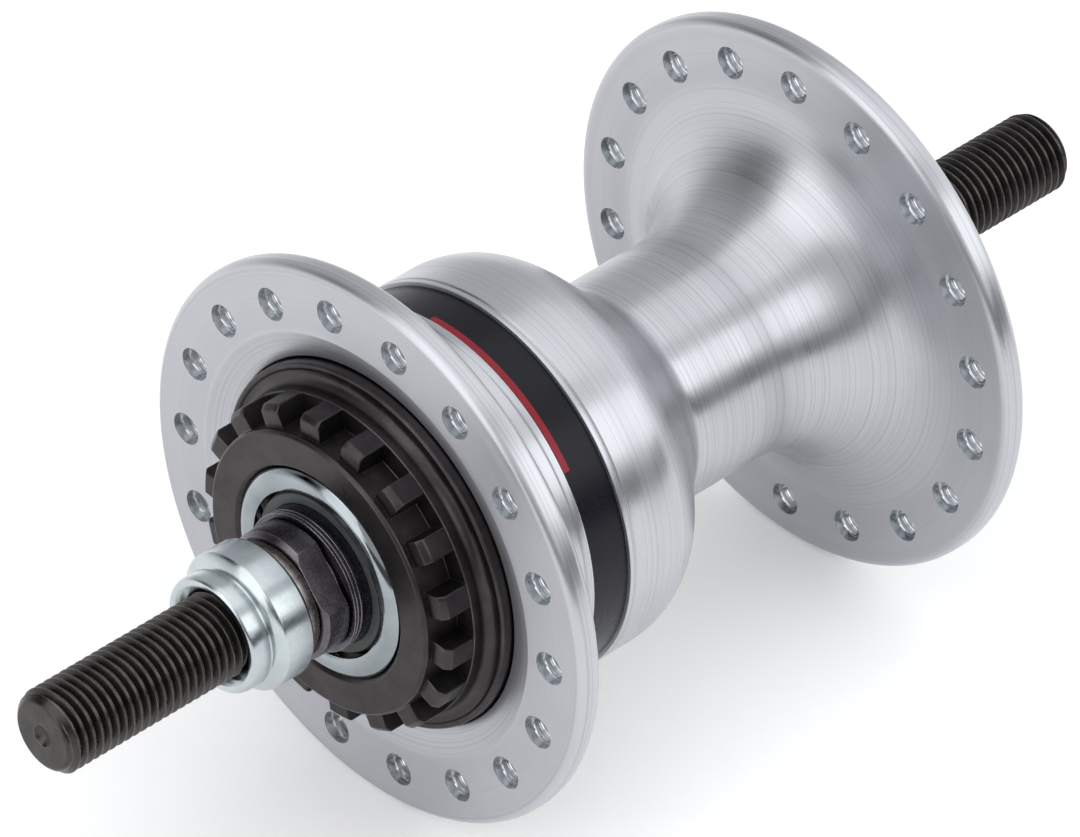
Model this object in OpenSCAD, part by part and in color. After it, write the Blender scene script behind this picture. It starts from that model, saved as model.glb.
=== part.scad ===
// Front hub for a roller brake. The axle lies along Y with the brake side at +Y,
// +Z is up, and the origin is midway between the two fork faces. Millimetres.

/* [Axle] */
// Axle diameter over the thread of its free ends
axle_d = 9.5; // [9.2:0.1:10]
// Axle diameter under the nuts and cones, at half the depth of the meshing threads
axle_core_d = 8.9; // [8.5:0.1:9.1]
// Axle length from tip to tip
axle_length = 146; // [138:1:156]
// Chamfer on the axle's tips
axle_tip_chamfer = 0.9; // [0.3:0.1:1.5]
// Diameter of the centre-drill dimple in each tip
axle_dimple_d = 2.6; // [1.5:0.1:4]
// Distance between the two fork faces
fork_width = 100; // [99:0.5:102]

/* [Hub shell] */
// Flange diameter
flange_d = 65; // [62:0.5:68]
// Flange thickness
flange_t = 3; // [2.5:0.1:3.5]
// Distance from the middle to the left flange's outer face
left_flange_face = 28.5; // [28:0.1:29]
// Distance from the middle to the right flange's outer face
right_flange_face = 36.8; // [36:0.1:37.5]
// Rounding radius on the rim of each flange
rim_round = 1.1; // [0.6:0.1:1.3]
// Drum diameter beside the label
drum_d = 45.4; // [44.6:0.2:46.4]
// How much smaller the drum's radius is next to the left flange
drum_step = 0.2; // [0.1:0.05:0.3]
// Distance from the middle to that step
drum_step_start = 18; // [17.8:0.1:18.8]
// Radius of the drum's rounded rear shoulder
dome_r = 9; // [8:0.5:10]
// Where the rounded shoulder starts, from the middle
dome_start = 6.5; // [5.5:0.5:7.5]
// Slope of the dome's cone below the shoulder, in degrees
dome_angle = 47; // [44:1:50]
// Waist diameter
waist_d = 26.2; // [25:0.2:27.4]
// Fillet between dome and waist
waist_fillet = 3.5; // [2:0.5:5]
// Radius of the trumpet flare into the right flange
flare_r = 14; // [11:0.5:15]
// Fillet between the drum and the left flange
drum_fillet = 2.2; // [1:0.2:3]
// Diameter of the bore through the waist
shell_bore_d = 18; // [16:0.5:20]
// Diameter of the boss outside the right flange
boss_d = 29; // [28:0.5:31]
// How far that boss stands out from the flange
boss_h = 4.4; // [3.5:0.1:5]
// Diameter where the dished middle of the left flange starts
dish_d = 49; // [47:0.5:51]
// Depth of that dish
dish_depth = 1.2; // [0.6:0.1:1.6]

/* [Spoke holes] */
// Holes in each flange
spoke_count = 18; // [14:2:18]
// Diameter of the hole circle
spoke_circle_d = 55.3; // [54.4:0.1:56]
// Hole diameter
spoke_hole_d = 2.6; // [2.2:0.1:3]
// Diameter of the countersink at the face
spoke_sink_d = 3.8; // [3.4:0.1:4.4]
// Depth of the countersink
spoke_sink_depth = 0.6; // [0.3:0.1:0.9]

/* [Label] */
// Width of the label band
label_w = 5.2; // [4.6:0.1:5.6]
// Distance from the middle to the band's rear edge
label_start = 12; // [11.6:0.1:12.6]
// Depth of the band's seat in the drum
label_seat_depth = 0.6; // [0.4:0.05:0.7]
// Thickness of the band
label_t = 0.15; // [0.1:0.05:0.25]
// Width of the stripe
stripe_w = 0.8; // [0.5:0.1:1.3]
// Distance of the stripe from the band's front edge
stripe_inset = 0.25; // [0.1:0.05:0.5]
// Thickness of the stripe
stripe_t = 0.1; // [0.05:0.01:0.12]
// Angle where the stripe starts
stripe_from = 84; // [70:1:95]
// Angle where the stripe ends
stripe_to = 143; // [120:1:160]

/* [Brake driver] */
// Distance from the middle to the driver's end face
driver_face = 35.2; // [35:0.1:35.6]
// Diameter over the teeth
tooth_tip_d = 37.7; // [37:0.1:38.5]
// Diameter at the bottom of the slots
tooth_root_d = 32.8; // [32:0.1:33.6]
// Number of teeth
tooth_count = 18; // [15:1:18]
// Angle of a slot's middle, in degrees
tooth_phase = 14; // [0:1:20]
// Slot width at the bottom
slot_root_w = 2.8; // [2.4:0.1:3]
// Slot width at the tooth tips
slot_tip_w = 3.9; // [3.6:0.1:4.1]
// Tooth length along the axle
tooth_l = 3.6; // [3.2:0.1:4]
// Height of the plain end ring in front of the teeth
end_ring_h = 0.9; // [0.5:0.1:1.1]
// Chamfer on the teeth's front corners
tooth_chamfer = 0.6; // [0.3:0.1:0.9]
// Length of the plain collar behind the teeth
driver_collar_l = 1.1; // [0.6:0.1:1.4]
// Rim diameter of the driver
driver_rim_d = 42.2; // [41.4:0.2:43]
// Thickness of the driver's rim
driver_rim_t = 4; // [3.6:0.1:4.4]
// Height of the fine lip round that rim
driver_lip_h = 0.2; // [0.1:0.05:0.3]
// Width of that lip at its foot
driver_lip_w = 0.8; // [0.6:0.1:1]
// Radius of the cove between collar and rim
driver_cove_r = 1.1; // [0.8:0.1:1.5]
// Diameter of the tail that is pressed into the shell
driver_tail_d = 35; // [34:0.5:36]
// Length of that tail
driver_tail_l = 9; // [7:0.5:10]
// Diameter of the bore through the tail
driver_tail_bore_d = 19; // [18:0.5:20]

/* [Bearings] */
// Ball diameter (3/16 inch)
ball_d = 4.762; // [4.5:0.1:4.9]
// Balls in each bearing
ball_count = 9; // [7:1:9]
// Diameter of the circle through the ball centres
ball_circle_d = 16.2; // [16.1:0.1:16.6]
// Distance from the middle to the left ball plane
left_ball_plane = 30.9; // [30.7:0.1:31.2]
// Distance from the middle to the right ball plane
right_ball_plane = 36.9; // [36.7:0.1:37.2]
// Gap between a ball and its races
race_gap = 0.1; // [0.08:0.01:0.14]
// Outer diameter of the bearing cups
cup_d = 24.1; // [23.9:0.1:24.5]
// Floor thickness of a cup under the balls
cup_floor_t = 1.2; // [0.9:0.1:1.4]
// Cup length outside the ball plane
cup_lip_l = 2; // [1.8:0.1:2.1]
// Diameter of the hole through a cup's floor
cup_hole_d = 13.4; // [13:0.1:14]
// Sheet thickness of the ball cages
cage_t = 0.5; // [0.4:0.05:0.6]
// Distance of a cage's rim from the ball plane
cage_rim_off = 1.5; // [1.3:0.1:1.6]
// How far a cage's fingers reach past the ball plane
cage_finger_l = 0.6; // [0.4:0.1:0.8]
// Radial clearance between a cage and its cup
cage_gap = 0.3; // [0.2:0.05:0.4]

/* [Dust caps] */
// Inner diameter of a dust cap's lip
cap_lip_d = 19.3; // [19.2:0.1:19.6]
// Radius of its rolled front
cap_roll_r = 1.7; // [1.6:0.05:1.8]
// Sheet thickness
cap_t = 0.7; // [0.5:0.05:0.8]
// How far the rolled front stands out of the driver's face
cap_proud = 0.45; // [0.2:0.05:0.7]

/* [Cones] */
// Collar diameter of the cones
cone_collar_d = 16; // [15.6:0.1:16]
// Diameter of the wrench section
cone_wrench_d = 14.8; // [14.4:0.1:15.2]
// Distance across the wrench flats
cone_flats = 13; // [12.8:0.1:13.6]
// Length of the wrench section
cone_wrench_l = 3.2; // [2.8:0.1:3.5]
// Length of the neck between collar and wrench section
cone_neck_l = 0.3; // [0.2:0.1:0.6]
// Angle of the left cone's flats
cone_flat_angle = 139.5; // [0:0.5:180]
// Chamfer at the cone's outer end
cone_chamfer = 0.5; // [0.3:0.1:0.7]
// Outer diameter of the rubber seal lip
seal_lip_d = 18.6; // [18.3:0.1:18.7]
// Width of the seal
seal_w = 1.6; // [1.2:0.1:1.8]

/* [Nuts and washers] */
// Length of the stepped brake fixing nut
brake_nut_l = 7.5; // [7:0.1:8]
// Diameter of its large step
brake_nut_d = 15.8; // [15.4:0.1:16.2]
// Diameter of its small step
brake_nut_small_d = 13.4; // [13:0.1:13.8]
// Length of its small step
brake_nut_small_l = 2.3; // [2:0.1:2.8]
// Width of the groove between the steps
brake_nut_groove_w = 0.6; // [0.5:0.1:0.9]
// Depth of that groove
brake_nut_groove_depth = 0.4; // [0.3:0.1:0.6]
// Diameter of the countersink round the thread
brake_nut_sink_d = 11.6; // [11:0.1:12]
// Thickness of the left lock washer
left_washer_t = 1.8; // [1.4:0.1:2]
// Diameter of the left lock washer
left_washer_d = 13.2; // [12.8:0.1:13.8]
// Thickness of the right lock washer
right_washer_t = 1.2; // [1:0.1:1.6]
// Diameter of the right lock washer
right_washer_d = 16; // [15:0.5:17]
// Thickness of the right locknut
locknut_t = 4; // [3.6:0.1:4.4]
// Distance across the locknut's flats
locknut_flats = 15; // [14.4:0.1:16]
// Diameter of the countersink in the locknut's outer face
locknut_sink_d = 10.8; // [10.4:0.1:11.4]

/* [Fits] */
// Radial clearance of threads and of rings on the axle
thread_gap = 0.02; // [0.01:0.01:0.05]
// Radial clearance of pressed pieces in their seats
seat_gap = 0.02; // [0.01:0.01:0.05]
// Radial clearance round the driver's rim in the shell
rim_gap = 0.2; // [0.1:0.05:0.3]

/* [Hidden] */

// Facet counts. Every circle above twelve sides is a true circle.
round_fn = 96;
small_fn = 48;
// Spare length by which cutters run past what they cut
over = 1;

axle_r = axle_d / 2;
axle_core_r = axle_core_d / 2;
thread_r = axle_core_r + thread_gap;
fork_half = fork_width / 2;

// Stations along the axle on the brake side, measured from the middle
brake_nut_back = fork_half - brake_nut_l;
left_cone_end = brake_nut_back - left_washer_t;
// Stations on the far side, as positive distances
locknut_back = fork_half - locknut_t;
right_cone_end = locknut_back - right_washer_t;

flange_r = flange_d / 2;
drum_r = drum_d / 2;
drum_step_r = drum_r - drum_step;
waist_r = waist_d / 2;
boss_end = right_flange_face + boss_h;
label_seat_r = drum_r - label_seat_depth;
label_r = label_seat_r + label_t;
label_end = label_start + label_w;

ball_r = ball_d / 2;
ball_circle_r = ball_circle_d / 2;
race_r = ball_r + race_gap;
cup_r = cup_d / 2;
cup_seat_r = cup_r + seat_gap;
left_cup_back = left_ball_plane - race_r - cup_floor_t;
left_cup_front = left_ball_plane + cup_lip_l;
right_cup_back = right_ball_plane - race_r - cup_floor_t;
right_cup_front = right_ball_plane + cup_lip_l;

driver_rim_r = driver_rim_d / 2;
driver_tail_r = driver_tail_d / 2;
tooth_tip_r = tooth_tip_d / 2;
tooth_root_r = tooth_root_d / 2;
teeth_front = driver_face - end_ring_h;
teeth_back = teeth_front - tooth_l;
driver_collar_back = teeth_back - driver_collar_l;
driver_rim_front = driver_collar_back - driver_cove_r;
driver_rim_back = driver_rim_front - driver_rim_t;
driver_tail_back = driver_rim_back - driver_tail_l;
// A light groove parts the flat end ring from its outer edge
end_ring_chamfer = 0.3;

// The seal sits on the collar just inside the mouth of the dust cap
seal_r = seal_lip_d / 2;
cap_lip_r = cap_lip_d / 2;

// Turns a profile drawn as [radius, distance along the axle] about the axle
module turned(angle = 360) {
    rotate([-90, 0, 0])
        rotate_extrude(angle = angle, $fn = round_fn)
            children();
}

// The same profile on the far side, where distances run towards -Y
module turned_far() {
    mirror([0, 1, 0])
        turned()
            children();
}

// Puts a child drawn on the +X side at an angle round the axle
module at_angle(a) {
    rotate([0, -a, 0])
        children();
}

// A rectangle in the profile plane, from one radius and station to another
module band(r1, r2, y1, y2) {
    translate([r1, y1])
        square([r2 - r1, y2 - y1]);
}

// Fills the corner p between the edges that leave it along unit vectors u and v,
// where v is reached by turning anticlockwise from u
module corner_fillet(p, u, v, radius) {
    half = acos(u * v) / 2;
    run = radius / tan(half);
    centre = p + (u + v) / norm(u + v) * radius / sin(half);
    // The fill reaches a little into the body on both sides
    bury = 0.2;
    difference() {
        polygon([p - (u + v) * bury, p + u * run - v * bury, p + u * run, centre,
                 p + v * run, p + v * run - u * bury]);
        translate(centre)
            circle(r = radius, $fn = round_fn);
    }
}

// Flange section with both rim corners rounded, its left face at the given station
module flange_section(face) {
    back = face - flange_t;
    round_at = flange_r - rim_round;
    band(0, round_at, back, face);
    band(round_at - rim_round, flange_r, back + rim_round, face - rim_round);
    for (y = [back + rim_round, face - rim_round])
        translate([round_at, y])
            circle(r = rim_round, $fn = small_fn);
}

// Outer shape of the shell, solid to the axis
module shell_outline() {
    right_inner = flange_t - right_flange_face;
    left_back = left_flange_face - flange_t;
    shoulder_r = drum_r - dome_r;
    // Lower end of the shoulder arc, where its slope reaches dome_angle
    arc_end = [shoulder_r + dome_r * cos(dome_angle), dome_start - dome_r * sin(dome_angle)];
    up_slope = [sin(dome_angle), cos(dome_angle)];
    // The cone below the shoulder meets the waist here
    meet = arc_end - up_slope * (arc_end[0] - waist_r) / sin(dome_angle);

    flange_section(left_flange_face);
    flange_section(right_inner);
    band(0, drum_step_r, dome_start, left_flange_face);
    polygon([[0, dome_start], [drum_r, dome_start], [drum_r, drum_step_start],
             [drum_step_r, drum_step_start + drum_step], [0, drum_step_start + drum_step]]);
    corner_fillet([drum_step_r, left_back], [0, -1], [1, 0], drum_fillet);
    intersection() {
        translate([shoulder_r, dome_start])
            circle(r = dome_r, $fn = round_fn);
        band(shoulder_r - over, drum_r + over, arc_end[1], dome_start + over);
    }
    polygon([[0, meet[1]], meet, arc_end, [shoulder_r, dome_start + over], [0, dome_start + over]]);
    band(0, waist_r, right_inner - over, dome_start);
    corner_fillet(meet, [0, -1], up_slope, waist_fillet);
    corner_fillet([waist_r, right_inner], [1, 0], [0, 1], flare_r);
    // Boss outside the right flange, with a small fillet and a chamfered end
    boss_chamfer = 0.6;
    boss_fillet = 1.5;
    boss_r = boss_d / 2;
    polygon([[0, -boss_end], [boss_r - boss_chamfer, -boss_end], [boss_r, boss_chamfer - boss_end],
             [boss_r, right_inner - over], [0, right_inner - over]]);
    corner_fillet([boss_r, -right_flange_face], [0, -1], [1, 0], boss_fillet);
}

// What is turned out of the shell: seats, label recess, grooves and bore
module shell_cuts() {
    bore_r = shell_bore_d / 2;
    // The pocket behind the driver's tail steps in by this much and runs this deep
    pocket_step = 2;
    pocket_l = 6;
    pocket_r = driver_tail_r - pocket_step;
    pocket_back = driver_tail_back - pocket_l;
    lead = 0.4;
    groove_half_w = 0.9;
    groove_depth = 0.25;
    groove_inset = 0.8;

    band(0, bore_r, -boss_end - over, left_flange_face + over);
    // Dish in the middle of the left flange
    polygon([[driver_rim_r, left_flange_face - dish_depth], [dish_d / 2, left_flange_face],
             [dish_d / 2, left_flange_face + over], [driver_rim_r, left_flange_face + over]]);
    // Seat of the driver's rim, then of its tail, then a relieved pocket
    band(0, driver_rim_r + rim_gap, driver_rim_back, left_flange_face + over);
    band(0, driver_tail_r + seat_gap, driver_tail_back, driver_rim_back + over);
    band(0, pocket_r, pocket_back, driver_tail_back + over);
    polygon([[0, pocket_back - pocket_r + bore_r], [bore_r, pocket_back - pocket_r + bore_r],
             [pocket_r, pocket_back], [pocket_r, pocket_back + over], [0, pocket_back + over]]);
    // Seat of the right cup with a lead-in at its mouth
    band(0, cup_seat_r, -boss_end - over, -right_cup_back);
    polygon([[0, -boss_end - over], [cup_seat_r + lead, -boss_end - over],
             [cup_seat_r + lead, -boss_end], [cup_seat_r, lead - boss_end], [0, lead - boss_end]]);
    // Label recess and the fine groove behind it
    band(label_seat_r, drum_r + over, label_start, label_end);
    translate([drum_r, label_start - groove_inset])
        polygon([[-groove_depth, 0], [over, -groove_half_w], [over, groove_half_w]]);
}

// One drilled spoke hole along Y, with a countersink on both faces
module spoke_hole(face) {
    back = face - flange_t;
    hole_r = spoke_hole_d / 2;
    sink_r = spoke_sink_d / 2;
    // Outside the face the countersink goes on at the same slope
    mouth_r = sink_r + (sink_r - hole_r) / spoke_sink_depth * over;
    rotate([-90, 0, 0]) {
        translate([0, 0, back - over])
            cylinder(r = hole_r, h = flange_t + 2 * over, $fn = small_fn);
        translate([0, 0, face - spoke_sink_depth])
            cylinder(r1 = hole_r, r2 = mouth_r, h = spoke_sink_depth + over, $fn = small_fn);
        translate([0, 0, back - over])
            cylinder(r1 = mouth_r, r2 = hole_r, h = spoke_sink_depth + over, $fn = small_fn);
    }
}

// All holes of a flange at +Y, the first at the given angle
module spoke_holes(face, first) {
    for (i = [0 : spoke_count - 1])
        at_angle(first + i * 360 / spoke_count)
            translate([spoke_circle_d / 2, 0, 0])
                spoke_hole(face);
}

module hub_shell() {
    color("silver")
        difference() {
            turned()
                difference() {
                    shell_outline();
                    shell_cuts();
                }
            spoke_holes(left_flange_face, 0);
            mirror([0, 1, 0])
                spoke_holes(right_flange_face, 180 / spoke_count);
        }
}

module label_band() {
    color("#1b1c24")
        turned()
            band(label_seat_r, label_r, label_start, label_end);
}

// A stripe along part of the band, near its front edge
module label_stripe() {
    front = label_end - stripe_inset;
    color("#9c1f2b")
        at_angle(stripe_to)
            turned(angle = stripe_to - stripe_from)
                band(label_r, label_r + stripe_t, front - stripe_w, front);
}

// Wedge that mills one slot, wider at the tips than at the bottom
module slot_wedge() {
    widen = (slot_tip_w - slot_root_w) / (tooth_tip_r - tooth_root_r) / 2;
    inner_half = slot_root_w / 2 - widen * over;
    outer_half = slot_tip_w / 2 + widen * over;
    rotate([-90, 0, 0])
        translate([0, 0, teeth_back])
            linear_extrude(tooth_l + over)
                polygon([[tooth_root_r - over, -inner_half], [tooth_tip_r + over, -outer_half],
                         [tooth_tip_r + over, outer_half], [tooth_root_r - over, inner_half]]);
}

// All slots, with a round bottom flush with the end ring
module tooth_slots() {
    difference() {
        for (i = [0 : tooth_count - 1])
            at_angle(tooth_phase + i * 360 / tooth_count)
                slot_wedge();
        turned()
            band(0, tooth_root_r, teeth_back - over, driver_face + over);
    }
}

// Section of the driver before its slots are milled
module driver_section() {
    mouth_chamfer = 0.55;
    end_ring_in = tooth_root_r - end_ring_chamfer;
    bore_r = driver_tail_bore_d / 2;
    lip_in = driver_rim_r - driver_lip_w;
    lip_front = driver_rim_front + driver_lip_h;
    difference() {
        union() {
            polygon([[bore_r, driver_rim_back], [driver_rim_r, driver_rim_back],
                     [driver_rim_r, driver_rim_front], [driver_rim_r - driver_lip_h, lip_front],
                     [lip_in + driver_lip_h, lip_front], [lip_in, driver_rim_front],
                     [tooth_tip_r, driver_rim_front], [tooth_tip_r, teeth_front - tooth_chamfer],
                     [tooth_tip_r - tooth_chamfer, teeth_front],
                     [tooth_root_r, teeth_front], [tooth_root_r, driver_face - end_ring_chamfer],
                     [end_ring_in, driver_face], [bore_r, driver_face]]);
            corner_fillet([tooth_tip_r, driver_rim_front], [1, 0], [0, 1], driver_cove_r);
            band(bore_r, driver_tail_r, driver_tail_back, driver_rim_back + over);
        }
        // Seat of the bearing cup and dust cap, chamfered at its mouth
        band(0, cup_seat_r, left_cup_back, driver_face + over);
        translate([cup_seat_r, driver_face])
            polygon([[-over, -mouth_chamfer], [0, -mouth_chamfer], [mouth_chamfer, 0],
                     [mouth_chamfer, over], [-over, over]]);
    }
}

module brake_driver() {
    color("#3a3230")
        difference() {
            turned()
                driver_section();
            tooth_slots();
        }
}

// Pressed cup with the outer race, ball plane and back at the given stations
module cup_section(plane) {
    back = plane - race_r - cup_floor_t;
    difference() {
        band(cup_hole_d / 2, cup_r, back, plane + cup_lip_l);
        translate([ball_circle_r, plane])
            circle(r = race_r, $fn = small_fn);
        band(0, ball_circle_r + race_r, plane, plane + cup_lip_l + over);
        band(0, ball_circle_r, plane - race_r, plane + over);
    }
}

module left_bearing_cup() {
    color("lightgray")
        turned()
            cup_section(left_ball_plane);
}

module right_bearing_cup() {
    color("lightgray")
        turned_far()
            cup_section(right_ball_plane);
}

// Rolled ring that closes the mouth: a skirt in the seat and a domed front
module cap_section(front, seat_end) {
    roll_y = front - cap_roll_r;
    // The roll's highest line lies a little inside the middle of the ring
    inward = 0.2;
    roll_x = (cup_r + cap_lip_r) / 2 - inward;
    difference() {
        union() {
            intersection() {
                translate([roll_x, roll_y])
                    circle(r = cap_roll_r, $fn = small_fn);
                band(cap_lip_r, cup_r, roll_y, front);
            }
            band(cup_r - cap_t, cup_r, seat_end, roll_y + over / 2);
        }
        intersection() {
            translate([roll_x, roll_y])
                circle(r = cap_roll_r - cap_t, $fn = small_fn);
            band(cap_lip_r + cap_t, cup_r - cap_t, seat_end - over, front);
        }
    }
}

module left_dust_cap() {
    color("gainsboro")
        turned()
            cap_section(driver_face + cap_proud, left_cup_front);
}

module right_dust_cap() {
    color("gainsboro")
        turned_far()
            cap_section(boss_end + cap_proud, right_cup_front);
}

// Cone with its inner race, grooved collar, neck and wrench section
module cone_section(plane, end) {
    nose_l = 1.9;
    neck_inset = 0.3;
    groove_depth = 0.25;
    groove_half_w = 0.6;
    groove_step = 0.5;
    groove_count = 2;
    first_groove = 0.3;
    wrench_start = end - cone_wrench_l;
    collar_end = wrench_start - cone_neck_l;
    wrench_r = cone_wrench_d / 2;
    collar_r = cone_collar_d / 2;
    difference() {
        union() {
            band(thread_r, ball_circle_r - race_r, plane - nose_l, plane + race_r);
            band(thread_r, collar_r, plane, collar_end);
            band(thread_r, cone_flats / 2 - neck_inset, collar_end - over, end - over);
            polygon([[thread_r, wrench_start], [wrench_r, wrench_start], [wrench_r, end - cone_chamfer],
                     [wrench_r - cone_chamfer, end], [thread_r, end]]);
        }
        translate([ball_circle_r, plane])
            circle(r = race_r, $fn = small_fn);
        for (i = [0 : groove_count - 1])
            translate([collar_r, collar_end - first_groove - i * groove_step])
                polygon([[-groove_depth, 0], [over, -groove_half_w], [over, groove_half_w]]);
    }
}

// Removes what lies outside the two wrench flats of the end section
module wrench_flats(end, angle) {
    for (side = [0, 180])
        at_angle(angle + side)
            translate([cone_flats / 2, end - cone_wrench_l, -cone_wrench_d])
                cube([cone_wrench_d, cone_wrench_l + over, 2 * cone_wrench_d]);
}

module left_cone() {
    color("#2e2b2c")
        difference() {
            turned()
                cone_section(left_ball_plane, left_cone_end);
            wrench_flats(left_cone_end, cone_flat_angle);
        }
}

module right_cone() {
    color("#2e2b2c")
        mirror([0, 1, 0])
            difference() {
                turned()
                    cone_section(right_ball_plane, right_cone_end);
                wrench_flats(right_cone_end, cone_flat_angle);
            }
}

// Rubber ring on the collar with a lip that nearly fills the cap's mouth
module seal_section(lip_end) {
    collar_r = cone_collar_d / 2 + thread_gap;
    foot = 0.35;
    polygon([[collar_r, lip_end - seal_w], [collar_r + foot, lip_end - seal_w],
             [seal_r, lip_end - foot], [seal_r - foot / 2, lip_end], [collar_r, lip_end]]);
}

module left_cone_seal() {
    color("#3c4040")
        turned()
            seal_section(driver_face - end_ring_chamfer);
}

module right_cone_seal() {
    color("#3c4040")
        turned_far()
            seal_section(boss_end - end_ring_chamfer);
}

// Round bar with a chamfer and a centre-drill dimple at both tips. The thread's full
// diameter shows outside the fork faces, and the nuts and cones grip the smaller core.
module axle() {
    half = axle_length / 2;
    dimple_r = axle_dimple_d / 2;
    color("#2b2827")
        turned()
            polygon([[0, dimple_r - half], [dimple_r, -half], [axle_r - axle_tip_chamfer, -half],
                     [axle_r, axle_tip_chamfer - half], [axle_r, -fork_half], [axle_core_r, -fork_half],
                     [axle_core_r, fork_half], [axle_r, fork_half], [axle_r, half - axle_tip_chamfer],
                     [axle_r - axle_tip_chamfer, half], [dimple_r, half], [0, half - dimple_r]]);
}

// Stepped nut: large step, groove, small rounded step and a countersunk thread
module brake_fixing_nut() {
    big_r = brake_nut_d / 2;
    small_r = brake_nut_small_d / 2;
    soft = 0.4;
    shoulder = 0.7;
    step_y = fork_half - brake_nut_small_l;
    groove_back = step_y - brake_nut_groove_w;
    groove_r = small_r - brake_nut_groove_depth;
    groove_draft = 0.15;
    sink_r = brake_nut_sink_d / 2;
    color("gainsboro")
        turned()
            polygon([[thread_r, brake_nut_back], [big_r - soft, brake_nut_back],
                     [big_r, brake_nut_back + soft], [big_r, groove_back - shoulder],
                     [big_r - soft, groove_back - soft], [small_r, groove_back],
                     [groove_r, groove_back + groove_draft], [groove_r, step_y - groove_draft],
                     [small_r, step_y], [small_r, fork_half - shoulder],
                     [small_r - soft / 3, fork_half - soft / 2], [small_r - soft, fork_half],
                     [sink_r, fork_half], [thread_r, fork_half - sink_r + thread_r]]);
}

// Flat ring on the axle with lightly broken edges
module washer_section(radius, y1, y2) {
    edge = 0.25;
    polygon([[thread_r, y1], [radius - edge, y1], [radius, y1 + edge],
             [radius, y2 - edge], [radius - edge, y2], [thread_r, y2]]);
}

module left_lock_washer() {
    color("#b9a9a3")
        turned()
            washer_section(left_washer_d / 2, left_cone_end, brake_nut_back);
}

module right_lock_washer() {
    color("#b9a9a3")
        turned_far()
            washer_section(right_washer_d / 2, right_cone_end, locknut_back);
}

// Hexagonal locknut, chamfered towards the fork
module right_locknut() {
    corner_r = locknut_flats / 2 / cos(30);
    chamfer = corner_r - locknut_flats / 2;
    sink_r = locknut_sink_d / 2;
    color("gainsboro")
        mirror([0, 1, 0])
            intersection() {
                rotate([-90, 0, 0])
                    translate([0, 0, locknut_back])
                        cylinder(r = corner_r, h = locknut_t, $fn = 6);
                turned()
                    polygon([[thread_r, locknut_back], [corner_r + over, locknut_back],
                             [corner_r + over, fork_half - chamfer - over],
                             [corner_r - chamfer, fork_half], [sink_r, fork_half],
                             [thread_r, fork_half - sink_r + thread_r]]);
            }
}

// The ball set of one bearing
module balls(plane) {
    for (i = [0 : ball_count - 1])
        at_angle(i * 360 / ball_count)
            translate([ball_circle_r, plane, 0])
                sphere(r = ball_r, $fn = small_fn);
}

// Retainer: a rim outside the ball plane, with a finger between each two balls
module ball_cage(plane) {
    rim_y = plane + cage_rim_off;
    rim_out = ball_circle_r + race_r - cage_gap;
    difference() {
        union() {
            turned()
                band(ball_circle_r, rim_out, rim_y, rim_y + cage_t);
            turned()
                band(rim_out - cage_t, rim_out, plane - cage_finger_l, rim_y + cage_t);
        }
        for (i = [0 : ball_count - 1])
            at_angle(i * 360 / ball_count)
                translate([ball_circle_r, plane, 0])
                    sphere(r = race_r, $fn = small_fn);
    }
}

module left_balls() {
    color("white")
        balls(left_ball_plane);
}

module right_balls() {
    color("white")
        mirror([0, 1, 0])
            balls(right_ball_plane);
}

module left_ball_cage() {
    color("tan")
        ball_cage(left_ball_plane);
}

module right_ball_cage() {
    color("tan")
        mirror([0, 1, 0])
            ball_cage(right_ball_plane);
}

axle();
brake_fixing_nut();
left_lock_washer();
left_cone();
left_cone_seal();
right_cone();
right_cone_seal();
right_lock_washer();
right_locknut();
hub_shell();
brake_driver();
left_bearing_cup();
right_bearing_cup();
left_dust_cap();
right_dust_cap();
label_band();
label_stripe();
left_ball_cage();
left_balls();
right_ball_cage();
right_balls();
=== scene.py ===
from math import atan2, cos, hypot, pi, radians, sin

import bmesh
import bpy
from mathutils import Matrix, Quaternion, Vector


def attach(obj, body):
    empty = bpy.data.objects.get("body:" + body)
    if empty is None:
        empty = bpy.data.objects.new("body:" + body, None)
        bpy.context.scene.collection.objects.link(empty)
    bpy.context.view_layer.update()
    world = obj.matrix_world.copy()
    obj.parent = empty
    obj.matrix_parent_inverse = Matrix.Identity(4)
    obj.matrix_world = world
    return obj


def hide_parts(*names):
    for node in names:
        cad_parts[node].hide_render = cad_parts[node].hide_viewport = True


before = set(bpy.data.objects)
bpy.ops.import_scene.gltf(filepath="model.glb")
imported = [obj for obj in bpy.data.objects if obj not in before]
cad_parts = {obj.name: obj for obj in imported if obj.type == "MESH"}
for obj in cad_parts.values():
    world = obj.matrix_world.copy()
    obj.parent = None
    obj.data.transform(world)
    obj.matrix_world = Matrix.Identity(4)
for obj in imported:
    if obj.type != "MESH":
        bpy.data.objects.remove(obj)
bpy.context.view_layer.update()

# Front hub for a roller brake. The axle lies along Y with the brake side at +Y.
# Sizes are in millimetres. Profiles are written as [radius, distance along the axle].

mm = 0.001
scene = bpy.context.scene
print("frame loaded:", len(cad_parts), "nodes")


# Materials

# A Mix node takes its share at input 0 and its colours at 6 and 7, and gives the result at output 2.
# A MapRange node takes a value, the range that it comes from and the range that it goes to.

waistPlace = -12.0


def linear(hexText):
    # an sRGB hex colour as linear values
    channels = [int(hexText[i:i + 2], 16) / 255 for i in (1, 3, 5)]
    return tuple(c / 12.92 if c <= 0.04045 else ((c + 0.055) / 1.055) ** 2.4 for c in channels) + (1,)


def setInputs(tree, node, values):
    # values are given by input, or as a plain list in the order of the inputs
    pairs = values.items() if isinstance(values, dict) else enumerate(values)
    for socket, value in pairs:
        if isinstance(value, bpy.types.NodeSocket):
            tree.links.new(value, node.inputs[socket])
        else:
            node.inputs[socket].default_value = value


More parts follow.
